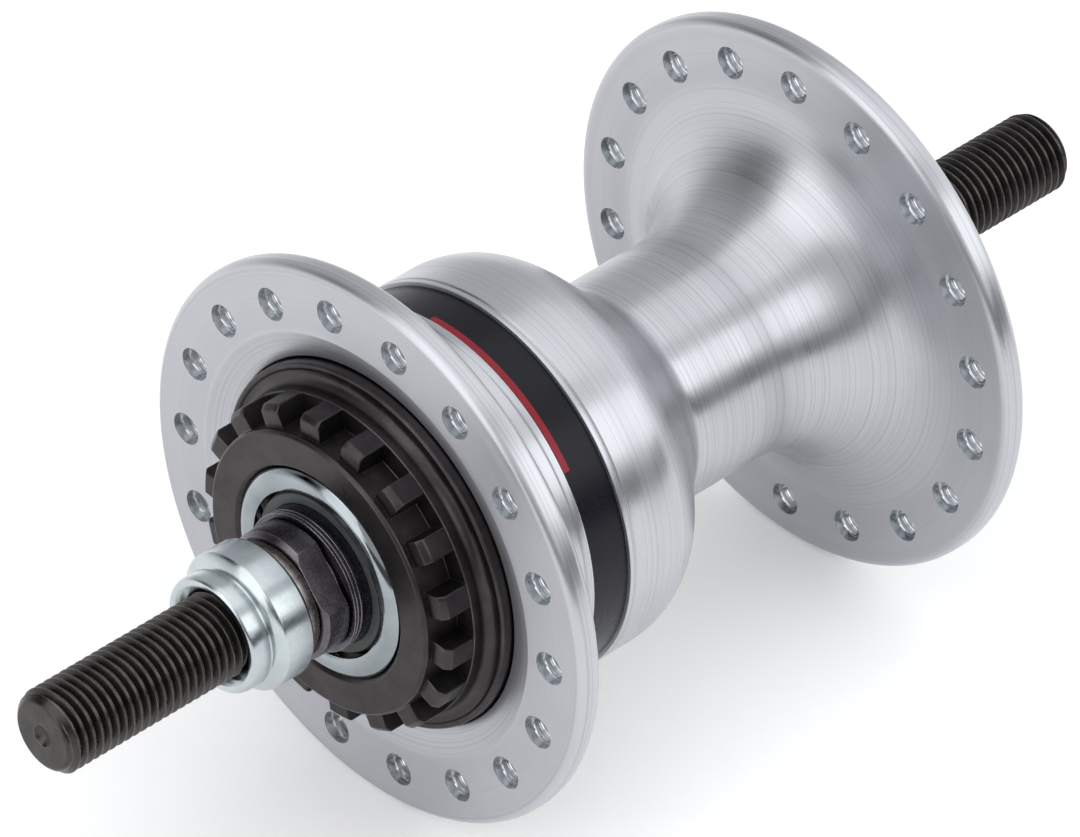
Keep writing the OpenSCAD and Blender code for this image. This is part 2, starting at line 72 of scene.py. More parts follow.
def addNode(tree, kind, output, values=(), **options):
    # adds a shader node with its settings and links, and returns the wanted output
    node = tree.nodes.new("ShaderNode" + kind)
    for option, setting in options.items():
        setattr(node, option, setting)
    setInputs(tree, node, values)
    return node.outputs[output]


def newMaterial(name):
    material = bpy.data.materials.new(name)
    material.use_nodes = True
    tree = material.node_tree
    shader = tree.nodes["Principled BSDF"]
    place = addNode(tree, "TexCoord", "Object")
    return material, tree, shader, place


def fromAxle(tree, place):
    # how far a point lies from the axle's centre line
    flat = addNode(tree, "VectorMath", 0, (place, (1, 0, 1)), operation="MULTIPLY")
    return addNode(tree, "VectorMath", "Value", (flat,), operation="LENGTH")


def alongProfile(tree, place):
    # radius plus distance from the waist, which grows steadily over every turned face
    along = addNode(tree, "SeparateXYZ", "Y", (place,))
    shifted = addNode(tree, "Math", 0, (along, waistPlace * mm), operation="SUBTRACT")
    away = addNode(tree, "Math", 0, (shifted,), operation="ABSOLUTE")
    return addNode(tree, "Math", 0, (fromAxle(tree, place), away), operation="ADD")


def edgeMask(tree, width, low=0.002, high=0.09):
    # 0 on faces and 1 along edges, from how far a rounded normal leans away
    soft = addNode(tree, "Bevel", 0, {"Radius": width}, samples=6)
    true = addNode(tree, "NewGeometry", "Normal")
    match = addNode(tree, "VectorMath", "Value", (soft, true), operation="DOT_PRODUCT")
    lean = addNode(tree, "Math", 0, (1.0, match), operation="SUBTRACT")
    return addNode(tree, "MapRange", 0, (lean, low, high, 0, 1))


def turnedAluminium():
    # Forged alloy, turned and polished, then clear anodised: bright, with the tool's
    # fine rings still in it, so that highlights are drawn out across the rings.
    # The flange faces were left satin: rougher, and with hardly any rings. The satin
    # grows between the first two of its radii and fades between the last two.
    look = dict(bright="#c1c2c6", dull="#b4b6bb", groove="#adafb4", feed=0.38, bandWidth=3.1,
                cloudSize=14.0, rough=0.26, roughMore=0.33, satinRadii=(22.5, 25.5, 30.9, 31.9),
                satinRough=0.16, satinRings=0.25, ringDepth=0.003, metallic=0.85, drawnOut=0.6)
    material, tree, shader, place = newMaterial("polished_anodised_aluminium")
    track = alongProfile(tree, place)
    rings = addNode(tree, "TexNoise", "Fac", {"W": track, "Scale": 1 / (look["feed"] * mm), "Detail": 1.0},
                    noise_dimensions="1D")
    broad = addNode(tree, "TexNoise", "Fac",
                    {"W": track, "Scale": 1 / (look["bandWidth"] * mm), "Detail": 1.0},
                    noise_dimensions="1D")
    clouds = addNode(tree, "TexNoise", "Fac",
                     {"Vector": place, "Scale": 1 / (look["cloudSize"] * mm), "Detail": 3.0})
    start, full, fading, end = [radius * mm for radius in look["satinRadii"]]
    radius = fromAxle(tree, place)
    growing = addNode(tree, "MapRange", 0, (radius, start, full, 0, 1))
    lessening = addNode(tree, "MapRange", 0, (radius, fading, end, 1, 0))
    satin = addNode(tree, "Math", 0, (growing, lessening), operation="MULTIPLY")
    ringShare = addNode(tree, "MapRange", 0, (satin, 0, 1, 1, look["satinRings"]))
    grooves = addNode(tree, "MapRange", 0, (rings, 0.5, 0.3, 0, 1))
    grooves = addNode(tree, "Math", 0, (grooves, ringShare), operation="MULTIPLY")
    colour = addNode(tree, "Mix", 2, {0: clouds, 6: linear(look["dull"]), 7: linear(look["bright"])},
                     data_type="RGBA")
    colour = addNode(tree, "Mix", 2, {0: grooves, 6: colour, 7: linear(look["groove"])}, data_type="RGBA")
    bands = addNode(tree, "MapRange", 0, (broad, 0.3, 0.7, look["rough"], look["roughMore"]))
    rough = addNode(tree, "Math", 0, (satin, look["satinRough"], bands), operation="MULTIPLY_ADD")
    bump = addNode(tree, "Bump", 0,
                   {"Strength": ringShare, "Distance": look["ringDepth"] * mm, "Height": rings})
    tangent = addNode(tree, "Tangent", 0, direction_type="RADIAL", axis="Y")
    setInputs(tree, shader, {"Base Color": colour, "Metallic": look["metallic"], "Roughness": rough,
                             "Normal": bump, "Tangent": tangent, "Anisotropic": look["drawnOut"],
                             "Anisotropic Rotation": 0.25})
    return material


def metalFinish(name, face, stain, edge, rough, grain, grainDepth, metallic=1.0,
                stainSize=6.0, edgeWidth=0.12, edgeShare=0.8, rings=0.0):
    # One metal surface: two colours in soft clouds, a lighter edge that is partly wear and partly painted
    # highlight, and a fine grain in mm
    material, tree, shader, place = newMaterial(name)
    clouds = addNode(tree, "TexNoise", "Fac",
                     {"Vector": place, "Scale": 1 / (stainSize * mm), "Detail": 4.0, "Roughness": 0.6})
    speckle = addNode(tree, "TexNoise", "Fac", {"Vector": place, "Scale": 1 / (grain * mm), "Detail": 2.0})
    stained = addNode(tree, "MapRange", 0, (clouds, 0.35, 0.68, 0, 1))
    colour = addNode(tree, "Mix", 2, {0: stained, 6: linear(face), 7: linear(stain)}, data_type="RGBA")
    gaps = addNode(tree, "MapRange", 0, (speckle, 0.3, 0.6, 0.55, 1.0))
    # the lighter edge colour stands partly for wear and partly for painted highlight along edges and
    # crests
    wearAndHighlight = addNode(tree, "Math", 0, (edgeMask(tree, edgeWidth * mm), gaps), operation="MULTIPLY")
    wearAndHighlight = addNode(tree, "Math", 0, (wearAndHighlight, edgeShare), operation="MULTIPLY")
    colour = addNode(tree, "Mix", 2, {0: wearAndHighlight, 6: colour, 7: linear(edge)}, data_type="RGBA")
    roughness = addNode(tree, "MapRange", 0, (speckle, 0.3, 0.7, rough * 0.85, rough * 1.2))
    height = speckle
    if rings:
        turned = addNode(tree, "TexNoise", "Fac",
                         {"W": alongProfile(tree, place), "Scale": 1 / (rings * mm), "Detail": 2.0},
                         noise_dimensions="1D")
        height = addNode(tree, "Math", 0, (height, turned), operation="ADD")
    bump = addNode(tree, "Bump", 0, {"Strength": 1.0, "Distance": grainDepth * mm, "Height": height})
    setInputs(tree, shader, {"Base Color": colour, "Metallic": metallic, "Roughness": roughness,
                             "Normal": bump})
    return material


def sealRubber():
    # Moulded nitrile rubber: matt dark grey with a greenish cast and a soft bloom
    look = dict(dark="#2f3434", bloom="#4b5251", bloomSize=2.2, poreSize=0.3, poreDepth=0.01, rough=0.55)
    material, tree, shader, place = newMaterial("moulded_nitrile_rubber")
    bloom = addNode(tree, "TexNoise", "Fac",
                    {"Vector": place, "Scale": 1 / (look["bloomSize"] * mm), "Detail": 4.0})
    pores = addNode(tree, "TexNoise", "Fac",
                    {"Vector": place, "Scale": 1 / (look["poreSize"] * mm), "Detail": 2.0})
    colour = addNode(tree, "Mix", 2, {0: bloom, 6: linear(look["dark"]), 7: linear(look["bloom"])},
                     data_type="RGBA")
    bump = addNode(tree, "Bump", 0, {"Strength": 1.0, "Distance": look["poreDepth"] * mm, "Height": pores})
    setInputs(tree, shader, {"Base Color": colour, "Roughness": look["rough"], "Normal": bump})
    return material


def printedFilm(name, ink, inkWorn, rough):
    # Screen-printed polyester film: flat even ink under a clear gloss face
    look = dict(cloudSize=5.0, dustSize=0.35, dustDepth=0.002, specular=0.2)
    material, tree, shader, place = newMaterial(name)
    cloud = addNode(tree, "TexNoise", "Fac",
                    {"Vector": place, "Scale": 1 / (look["cloudSize"] * mm), "Detail": 3.0})
    dust = addNode(tree, "TexNoise", "Fac",
                   {"Vector": place, "Scale": 1 / (look["dustSize"] * mm), "Detail": 2.0})
    colour = addNode(tree, "Mix", 2, {0: cloud, 6: linear(ink), 7: linear(inkWorn)}, data_type="RGBA")
    roughness = addNode(tree, "MapRange", 0, (dust, 0.3, 0.7, rough, rough * 1.4))
    bump = addNode(tree, "Bump", 0, {"Strength": 1.0, "Distance": look["dustDepth"] * mm, "Height": dust})
    setInputs(tree, shader, {"Base Color": colour, "Roughness": roughness, "Normal": bump,
                             "Specular IOR Level": look["specular"]})
    return material


aluminium = turnedAluminium()
# The spoke holes are drilled and countersunk after anodising: raw bright alloy, without rings
drilledAlloy = metalFinish("drilled_raw_aluminium", "#d6d9dc", "#cbced2", "#f2f3f4", 0.16, 0.4, 0.0004,
                           metallic=0.85, stainSize=5.0, edgeWidth=0.1, edgeShare=0.3)
# Case-hardened steel, ground after blacking: satin warm grey, its edges painted brighter, partly as wear
# and partly as painted highlight
groundSteel = metalFinish("ground_blackened_steel", "#474244", "#3a3638", "#928b89", 0.34, 0.35, 0.006,
                          stainSize=3.0, edgeWidth=0.2, edgeShare=0.7, rings=0.3)
# The tooth gaps are painted darker and duller than the ground faces: painted shade in the recesses between
# the teeth
toothGapShade = metalFinish("phosphated_steel", "#3c3839", "#2f2b2c", "#6b6564", 0.5, 0.25, 0.008,
                        stainSize=2.0, edgeWidth=0.15, edgeShare=0.6)
# Oil-blacked screw steel: warm and dark, with thread crests painted grey as highlight, partly wear
blackSteel = metalFinish("black_oxide_steel", "#494644", "#3a3736", "#b0aaa5", 0.3, 0.25, 0.003,
                         stainSize=2.5, edgeWidth=0.1, edgeShare=0.6)
# The cones are hardened and blacked, then ground: cooler and a little brighter than the axle, with
# chamfers and groove edges painted near white as highlight, partly wear
coneSteel = metalFinish("ground_cone_steel", "#68636a", "#504b50", "#cdc7ca", 0.28, 0.25, 0.003,
                        stainSize=3.0, edgeWidth=0.14, edgeShare=0.8)
# Bright zinc plate on steel: silver with a faint green-blue cast in soft clouds, and edges painted lighter
# as highlight
zinc = metalFinish("bright_zinc_plate", "#c0c8c8", "#b1b9be", "#e6e9ea", 0.2, 0.3, 0.0006,
                   stainSize=5.0, edgeWidth=0.12, edgeShare=0.5, rings=0.3)
# Nickel-chrome on a pressed ring: bright, slightly cool and a little soft
chrome = metalFinish("bright_chrome", "#9ea5a8", "#8b9397", "#d8dcde", 0.12, 0.4, 0.001,
                     stainSize=5.0, edgeWidth=0.1, edgeShare=0.5)
# Blanked steel washers, left bare under a film of oil: warm grey, darker in patches
washerSteel = metalFinish("oiled_washer_steel", "#a19a98", "#78716f", "#d6d0cd", 0.24, 0.3, 0.002,
                          stainSize=2.0, edgeWidth=0.15)
# Through-hardened bearing steel, ground: clean grey and nearly mirror smooth
bearingSteel = metalFinish("ground_bearing_steel", "#c4c2bf", "#b6b4b2", "#dcdad7", 0.12, 0.2, 0.001)
# Deep-drawn low-carbon sheet: warm grey with a light oil film
cageSteel = metalFinish("drawn_sheet_steel", "#a89c8c", "#97897a", "#c6baa8", 0.35, 0.25, 0.003)
rubber = sealRubber()
filmDark = printedFilm("gloss_printed_film_dark", "#0b0c13", "#12131c", 0.24)
filmRed = printedFilm("gloss_printed_film_red", "#7a1622", "#8e2231", 0.25)
print("materials made:", len(bpy.data.materials))


# Shaping

degreesPerStep = 6
sharpAngle = 34


def everything(bm):
    return bm.verts[:] + bm.edges[:] + bm.faces[:]


def weld(bm, distance=0.002):
    bmesh.ops.remove_doubles(bm, verts=bm.verts, dist=distance * mm)


def drawProfile(bm, start, moves):
    # [r, y] goes straight there; [centre r, centre y, degrees] swings round that centre
    tip = bm.verts.new((start[0] * mm, start[1] * mm, 0))
    for move in moves:
        if len(move) == 2:
            tip = bmesh.ops.extrude_vert_indiv(bm, verts=[tip])["verts"][0]
            tip.co = (move[0] * mm, move[1] * mm, 0)
        else:
            centreR, centreY, turn = move
            swung = bmesh.ops.spin(bm, geom=[tip], cent=(centreR * mm, centreY * mm, 0), axis=(0, 0, 1),
                                   dvec=(0, 0, 0), angle=radians(turn),
                                   steps=max(3, round(abs(turn) / degreesPerStep)))
            tip = [v for v in swung["geom_last"] if isinstance(v, bmesh.types.BMVert)][0]
    weld(bm)


def roundCorners(bm, size, leastTurn=13):
    # rounds the profile's corners, apart from those whose sides are too short for it
    shortest = 2.1 * size * mm
    corners = []
    for vert in bm.verts:
        if len(vert.link_edges) != 2:
            continue
        one, two = [edge.other_vert(vert).co - vert.co for edge in vert.link_edges]
        if min(one.length, two.length) > shortest and (-one).angle(two) > radians(leastTurn):
            corners.append(vert)
    if corners:
        bmesh.ops.bevel(bm, geom=corners, offset=size * mm, offset_type="OFFSET", segments=3,
                        profile=0.5, affect="VERTICES", material=-1)


def revolve(bm, steps, mirrored=False):
    bmesh.ops.spin(bm, geom=everything(bm), cent=(0, 0, 0), axis=(0, -1, 0),
                   dvec=(0, 0, 0), angle=2 * pi, steps=steps, use_merge=True)
    weld(bm, 0.001)
    if mirrored:
        bmesh.ops.scale(bm, vec=(1, -1, 1), verts=bm.verts)
    bmesh.ops.recalc_face_normals(bm, faces=bm.faces)


def turnedMesh(start, moves, steps, corner, mirrored=False):
    bm = bmesh.new()
    drawProfile(bm, start, moves)
    if corner:
        roundCorners(bm, corner)
    revolve(bm, steps, mirrored)
    return bm


def joinInto(bm, other):
    # moves the other mesh's shapes into this one
    passing = bpy.data.meshes.new("passing")
    other.to_mesh(passing)
    other.free()
    bm.from_mesh(passing)
    bpy.data.meshes.remove(passing)


def outwards(degrees):
    # the direction away from the axle at this angle, counted from +X towards +Z
    return Vector((cos(radians(degrees)), 0, sin(radians(degrees))))


def turnTo(bm, degrees):
    # turns what was made at +X round the axle to this angle
    turn = Vector((1, 0, 0)).rotation_difference(outwards(degrees))
    bmesh.ops.rotate(bm, cent=(0, 0, 0), verts=bm.verts, matrix=turn.to_matrix())


def swingSection(bm, start, swing, steps):
    # fills a closed profile and swings it round the axle, from one angle on over another
    bmesh.ops.contextual_create(bm, geom=bm.edges[:])
    turnTo(bm, start)
    bmesh.ops.spin(bm, geom=everything(bm), cent=(0, 0, 0), axis=(0, -1, 0), dvec=(0, 0, 0),
                   angle=radians(swing), steps=steps)
    bmesh.ops.recalc_face_normals(bm, faces=bm.faces)


def copyRound(bm, count):
    # repeats the shape round the axle until there are this many, evenly spaced
    bmesh.ops.spin(bm, geom=bm.faces[:], cent=(0, 0, 0), axis=(0, -1, 0), dvec=(0, 0, 0),
                   angle=2 * pi * (count - 1) / count, steps=count - 1, use_duplicate=True)
    bmesh.ops.recalc_face_normals(bm, faces=bm.faces)


def roundEdges(bm, size, segments, leastTurn, chosen):
    # rounds each edge that turns by more than this many degrees, if chosen(edge) holds for it
    hard = [e for e in bm.edges
            if len(e.link_faces) == 2 and e.calc_face_angle() > radians(leastTurn) and chosen(e)]
    bmesh.ops.bevel(bm, geom=hard, offset=size * mm, offset_type="OFFSET", segments=segments,
                    profile=0.5, affect="EDGES", material=-1, clamp_overlap=True)


def innerRadius(edge):
    # how near to the axle's centre line an edge comes
    return min(hypot(vert.co.x, vert.co.z) for vert in edge.verts) / mm


def cutOff(bm, point, direction):
    # removes what lies beyond this point, and returns the edges along the cut
    cut = bmesh.ops.bisect_plane(bm, geom=everything(bm), dist=0.0001 * mm, plane_co=point,
                                 plane_no=direction, clear_outer=True)
    return [e for e in cut["geom_cut"] if isinstance(e, bmesh.types.BMEdge)]


def cutFlats(bm, distance, angles):
    # cuts flats along the axle, each at this distance from it
    for angle in angles:
        rim = cutOff(bm, outwards(angle) * distance * mm, outwards(angle))
        bmesh.ops.holes_fill(bm, edges=rim)
    bmesh.ops.recalc_face_normals(bm, faces=bm.faces)


def finishShading(piece):
    piece.data.shade_smooth()
    piece.data.set_sharp_from_angle(angle=radians(sharpAngle))
    shading = piece.modifiers.new("evenShading", "WEIGHTED_NORMAL")
    shading.keep_sharp = True


def newObject(name, bm, materials):
    # makes the finished shape an object of the scene
    mesh = bpy.data.meshes.new(name)
    bm.to_mesh(mesh)
    bm.free()
    for material in materials:
        mesh.materials.append(material)
    made = bpy.data.objects.new(name, mesh)
    scene.collection.objects.link(made)
    return made


def newPiece(name, bm, materials, body, replaced):
    piece = newObject(name, bm, materials)
    finishShading(piece)
    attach(piece, body)
    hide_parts(*replaced)
    return piece


# Hub shell

# Names that end in Y are places along the axle, and most others are radii. A flange is given by
# its two faces and the angle of its first spoke hole.
hubShell = dict(
    steps=256, corner=0.1, rightFlange=(-36.8, -33.8, 10), leftFlange=(25.5, 28.5, 0), flange=32.5,
    rimRound=1.1, holes=18, holeSteps=32, holeCircle=27.65, holeRadius=1.3, sinkRadius=1.9, sinkDepth=0.6,
    holePast=0.4, boss=14.5, bossY=-41.2, bossChamfer=0.6, bossFillet=1.5, flareRound=14.0, waist=13.1,
    waistY=-7.887, waistRound=3.5, slope=47, domeRound=9.0, domeY=6.5, shoulder=22.7, shoulderY=18.0,
    grooveY=11.2, grooveHalf=0.18, grooveDepth=0.25, label=22.1, labelBackY=12.0, labelFrontY=17.2,
    drum=22.5, drumFillet=2.2,
    dish=24.5, mouth=21.3, mouthY=27.37, rimSeatY=24.5, seat=17.52, seatY=15.5, cavity=15.5, cavityY=9.5,
    bore=9.0, boreY=3.0, cup=12.07, cupY=-33.219, cupChamfer=0.4)


def spokeHoleCutter(back, face, first):
    # one waisted plug for a countersunk hole, then copies of it round the flange
    shell = hubShell
    hole, sink = shell["holeRadius"], shell["sinkRadius"]
    depth, past = shell["sinkDepth"], shell["holePast"]
    bm = bmesh.new()
    drawProfile(bm, (0, back - past), [
        (sink, back - past), (sink, back), (sink, back + depth, 90),
        (hole, face - depth), (sink, face - depth, 90), (sink, face + past), (0, face + past)])
    revolve(bm, shell["holeSteps"])
    bmesh.ops.translate(bm, vec=(shell["holeCircle"] * mm, 0, 0), verts=bm.verts)
    turnTo(bm, first)
    copyRound(bm, shell["holes"])
    return bm


def flangeRim(low, high):
    # the rounded rim between a flange's two faces
    edge, size = hubShell["flange"], hubShell["rimRound"]
    return [(edge - size, low), (edge - size, low + size, 90), (edge, high - size),
            (edge - size, high - size, 90)]


def bossAndFlare():
    # the boss outside the right flange, that flange, and its flare down to the waist
    shell = hubShell
    boss, bossY, waist, flare = shell["boss"], shell["bossY"], shell["waist"], shell["flareRound"]
    chamfer, fillet = shell["bossChamfer"], shell["bossFillet"]
    low, high = shell["rightFlange"][:2]
    return [(boss - chamfer, bossY), (boss, bossY + chamfer), (boss, low - fillet),
            (boss + fillet, low - fillet, -90), *flangeRim(low, high),
            (waist + flare, high), (waist + flare, high + flare, -90), (waist, shell["waistY"])]


def domeAndDrum():
    # the slope up from the waist, the dome, the label's seat, the drum and the left flange
    shell = hubShell
    slope, shoulder, drum, domeRound = shell["slope"], shell["shoulder"], shell["drum"], shell["domeRound"]
    domeCentre, domeY, fillet = shoulder - domeRound, shell["domeY"], shell["drumFillet"]
    grooveY, half, depth = shell["grooveY"], shell["grooveHalf"], shell["grooveDepth"]
    label, backY, frontY = shell["label"], shell["labelBackY"], shell["labelFrontY"]
    low, high = shell["leftFlange"][:2]
    return [(shell["waist"] + shell["waistRound"], shell["waistY"], -slope),
            (domeCentre + domeRound * cos(radians(slope)), domeY - domeRound * sin(radians(slope))),
            (domeCentre, domeY, slope),
            (shoulder, grooveY - half), (shoulder - depth, grooveY), (shoulder, grooveY + half),
            (shoulder, backY), (label, backY), (label, frontY), (shoulder, frontY),
            (shoulder, shell["shoulderY"]), (drum, shell["shoulderY"] + shoulder - drum),
            (drum, low - fillet), (drum + fillet, low - fillet, -90), *flangeRim(low, high)]


def shellInside():
    # the dish, the driver's seat, the bore and the seat of the right bearing cup
    shell = hubShell
    mouth, seat, cavity, bore, cup = [shell[name] for name in ("mouth", "seat", "cavity", "bore", "cup")]
    rimSeatY, seatY, cupY, chamfer = shell["rimSeatY"], shell["seatY"], shell["cupY"], shell["cupChamfer"]
    return [(shell["dish"], shell["leftFlange"][1]), (mouth, shell["mouthY"]), (mouth, rimSeatY),
            (seat, rimSeatY), (seat, seatY), (cavity, seatY), (cavity, shell["cavityY"]),
            (bore, shell["boreY"]), (bore, cupY), (cup, cupY), (cup, shell["bossY"] + chamfer),
            (cup + chamfer, shell["bossY"])]


def makeHubShell():
    shell = hubShell
    bm = turnedMesh((shell["cup"] + shell["cupChamfer"], shell["bossY"]),
                    bossAndFlare() + domeAndDrum() + shellInside(), shell["steps"], shell["corner"])
    metals = (aluminium, drilledAlloy)
    piece = newPiece("hubShell", bm, metals, "hub", ["hub_shell"])
    cutter = spokeHoleCutter(*shell["leftFlange"])
    joinInto(cutter, spokeHoleCutter(*shell["rightFlange"]))
    for face in cutter.faces:
        face.material_index = 1
    plugs = newObject("plugs", cutter, metals)
    drill = piece.modifiers.new("spokeHoles", "BOOLEAN")
    drill.operation, drill.solver, drill.object = "DIFFERENCE", "EXACT", plugs
    piece.modifiers.remove(piece.modifiers["evenShading"])
    drilled = bpy.data.meshes.new_from_object(piece.evaluated_get(bpy.context.evaluated_depsgraph_get()))
    piece.modifiers.clear()
    piece.data = drilled
    drilled.name = "hubShell"
    bpy.data.objects.remove(plugs)
    finishShading(piece)


makeHubShell()
print("hub shell made")


# Brake driver

# A tooth's half widths at root and tip are angles. It stands a little way inside the ring under it
# and the wall behind it, by buried and behind.
brakeDriver = dict(
    steps=216, corner=0.12, teeth=18, firstTooth=4.0, rootRadius=16.4, tipRadius=18.85, back=30.7,
    front=34.3, chamfer=0.6, rootHalf=5.12, tipHalf=4.09, toothRound=0.16, buried=0.5, behind=0.02,
    ringY=35.2, ringChamfer=0.3, cove=1.1, rim=21.1, rimY=28.5, rimBackY=24.5, lipWidth=0.8, lipHeight=0.2,
    tail=17.5, tailY=15.5, bore=9.5, cup=12.07, cupY=27.219, mouthChamfer=0.55)


def toothRing():
    # one tooth swung from its section, drawn in towards the tip, rounded, then copied round
    tooth = brakeDriver
    root, tip, back, front = tooth["rootRadius"], tooth["tipRadius"], tooth["back"], tooth["front"]
    foot, chamfer, rearY = root - tooth["buried"], tooth["chamfer"], back - tooth["behind"]
    bm = bmesh.new()
    drawProfile(bm, (foot, rearY), [
        (tip, rearY), (tip, front - chamfer), (tip - chamfer, front), (foot, front), (foot, rearY)])
    swingSection(bm, -tooth["rootHalf"], 2 * tooth["rootHalf"], steps=4)
    narrowing = (1 - tooth["tipHalf"] / tooth["rootHalf"]) / (tip - root)
    for vert in bm.verts:
        radius = hypot(vert.co.x, vert.co.z)
        angle = atan2(vert.co.z, vert.co.x) * (1 - narrowing * (radius / mm - root))
        vert.co.x, vert.co.z = radius * cos(angle), radius * sin(angle)
    wall = (back + 0.05) * mm
    roundEdges(bm, tooth["toothRound"], segments=3, leastTurn=25,
               chosen=lambda edge: max(v.co.y for v in edge.verts) > wall)
    turnTo(bm, tooth["firstTooth"])
    copyRound(bm, tooth["teeth"])
    return bm


def inToothGap(face):
    # tooth flanks, the ring between the teeth and the wall behind it take the darker painted-shade steel
    tooth, near = brakeDriver, 0.1
    centre, along = face.calc_center_median() / mm, face.normal.y
    radius = hypot(centre.x, centre.z)
    isBetween = tooth["back"] - near < centre.y < tooth["front"] + 3 * near
    if not isBetween or radius > tooth["tipRadius"] - near:
        return False
    outward = (centre.x * face.normal.x + centre.z * face.normal.z) / radius
    isFlank = abs(outward) < 0.5 and abs(along) < 0.3
    isFloor = tooth["rootRadius"] - 2 * near < radius < tooth["rootRadius"] + near and outward > 0.9
    isWall = centre.y < tooth["back"] + near and along > 0.9
    return isFlank or isFloor or isWall


def makeBrakeDriver():
    driver = brakeDriver
    root, tip, back, ringY = driver["rootRadius"], driver["tipRadius"], driver["back"], driver["ringY"]
    chamfer, mouth, cove = driver["ringChamfer"], driver["mouthChamfer"], driver["cove"]
    rim, rimY, width, height = driver["rim"], driver["rimY"], driver["lipWidth"], driver["lipHeight"]
    tail, bore, cup = driver["tail"], driver["bore"], driver["cup"]
    bm = turnedMesh((cup + mouth, ringY), [
        (root - chamfer, ringY), (root, ringY - chamfer), (root, back), (tip, back), (tip, rimY + cove),
        (tip + cove, rimY + cove, 90), (rim - width, rimY), (rim - width + height, rimY + height),
        (rim - height, rimY + height), (rim, rimY), (rim, driver["rimBackY"]), (tail, driver["rimBackY"]),
        (tail, driver["tailY"]), (bore, driver["tailY"]), (bore, driver["cupY"]), (cup, driver["cupY"]),
        (cup, ringY - mouth), (cup + mouth, ringY)], driver["steps"], driver["corner"])
    joinInto(bm, toothRing())
    # faces in the tooth gaps get the second material, which is painted shade
    for face in bm.faces:
        face.material_index = inToothGap(face)
    newPiece("brakeDriver", bm, (groundSteel, toothGapShade), "hub", ["brake_driver"])


makeBrakeDriver()
print("brake driver made")


# Dust caps and seals

# Both arcs of the rolled edge have their centre at roll and rollY. Rise is how far above that
# centre an arc starts, and turn is how many degrees it swings.
dustCap = dict(steps=160, corner=0.12, inner=9.65, outer=12.05, wall=0.7, footY=32.9, roll=10.65,
               rollY=33.95, outsideRise=1.3748, outsideTurn=-91.47, insideRise=0.714, insideTurn=61.89)
coneSeal = dict(steps=120, corner=0.07, inner=8.02, foot=8.37, lip=9.3, edge=9.125, backY=33.3, lipY=34.55,
                frontY=34.9)
# The right bearing lies this much further out than the left one
rightShift = 6.0


def makeDustCap(name, shift, mirrored, node):
    cap = dustCap
    inner, outer, wall, roll = cap["inner"], cap["outer"], cap["wall"], cap["roll"]
    rollY, footY = cap["rollY"] + shift, cap["footY"] + shift
    bm = turnedMesh((inner, rollY), [
        (inner, rollY + cap["outsideRise"]), (roll, rollY, cap["outsideTurn"]), (outer, footY),
        (outer - wall, footY), (outer - wall, rollY + cap["insideRise"]), (roll, rollY, cap["insideTurn"]),
        (inner + wall, rollY), (inner, rollY)], cap["steps"], cap["corner"], mirrored)
    newPiece(name, bm, (chrome,), "hub", [node])


def makeSeal(name, shift, mirrored, node):
    seal, inner = coneSeal, coneSeal["inner"]
    backY, lipY, frontY = seal["backY"] + shift, seal["lipY"] + shift, seal["frontY"] + shift
    bm = turnedMesh((inner, backY), [
        (seal["foot"], backY), (seal["lip"], lipY), (seal["edge"], frontY), (inner, frontY),
        (inner, backY)], seal["steps"], seal["corner"], mirrored)
    newPiece(name, bm, (rubber,), "axle_set", [node])


makeDustCap("leftDustCap", 0, False, "left_dust_cap")
makeDustCap("rightDustCap", rightShift, True, "right_dust_cap")
makeSeal("leftConeSeal", 0, False, "left_cone_seal")
makeSeal("rightConeSeal", rightShift, True, "right_cone_seal")
print("dust caps and seals made")


# Cones

# Radius of the bores that carry the axle's thread, at half its depth
threadBore = 4.47
# The race is an arc round a centre in the plane of the balls, out to the collar. Two grooves run
# round the collar, at these distances from its end.
bearingCone = dict(steps=128, corner=0.05, nose=5.619, noseLength=1.9, race=8.1, raceTurn=-87.69,
                   collar=8.0, grooves=(0.8, 0.3), grooveHalf=0.12, grooveDepth=0.25, neck=6.2,
                   collarBack=3.5, head=7.4, headLength=3.2, headChamfer=0.5, overlap=0.4, flats=6.5,
                   flatAngle=139.5, flatRound=0.1, roundFrom=5.0, ballPlane=30.9, leftEnd=40.7,
                   rightEnd=44.8)


def makeCone(name, plane, end, mirrored, node):
    cone, bore = bearingCone, threadBore
    collar, neck, head, chamfer = cone["collar"], cone["neck"], cone["head"], cone["headChamfer"]
    noseY = plane - cone["noseLength"]
    collarY, headY = end - cone["collarBack"], end - cone["headLength"]
    half, depth = cone["grooveHalf"], cone["grooveDepth"]
    profile = [(cone["nose"], noseY), (cone["nose"], plane), (cone["race"], plane, cone["raceTurn"])]
    for distance in cone["grooves"]:
        middle = collarY - distance
        profile += [(collar, middle - half), (collar - depth, middle), (collar, middle + half)]
    profile += [(collar, collarY), (neck, collarY), (neck, headY), (neck, headY + cone["overlap"]),
                (bore, headY + cone["overlap"]), (bore, noseY)]
    bm = turnedMesh((bore, noseY), profile, cone["steps"], cone["corner"])
    wrenchEnd = turnedMesh((bore, headY), [
        (head, headY), (head, end - chamfer), (head - chamfer, end), (bore, end), (bore, headY)],
        cone["steps"], 0)
    cutFlats(wrenchEnd, cone["flats"], [cone["flatAngle"], cone["flatAngle"] + 180])
    roundEdges(wrenchEnd, cone["flatRound"], segments=2, leastTurn=20,
               chosen=lambda edge: innerRadius(edge) > cone["roundFrom"])
    joinInto(bm, wrenchEnd)
    if mirrored:
        bmesh.ops.scale(bm, vec=(1, -1, 1), verts=bm.verts)
    bmesh.ops.recalc_face_normals(bm, faces=bm.faces)
    newPiece(name, bm, (coneSteel,), "axle_set", [node])


makeCone("leftCone", bearingCone["ballPlane"], bearingCone["leftEnd"], False, "left_cone")
makeCone("rightCone", bearingCone["ballPlane"] + rightShift, bearingCone["rightEnd"], True, "right_cone")
print("cones made")


# Nuts and washers

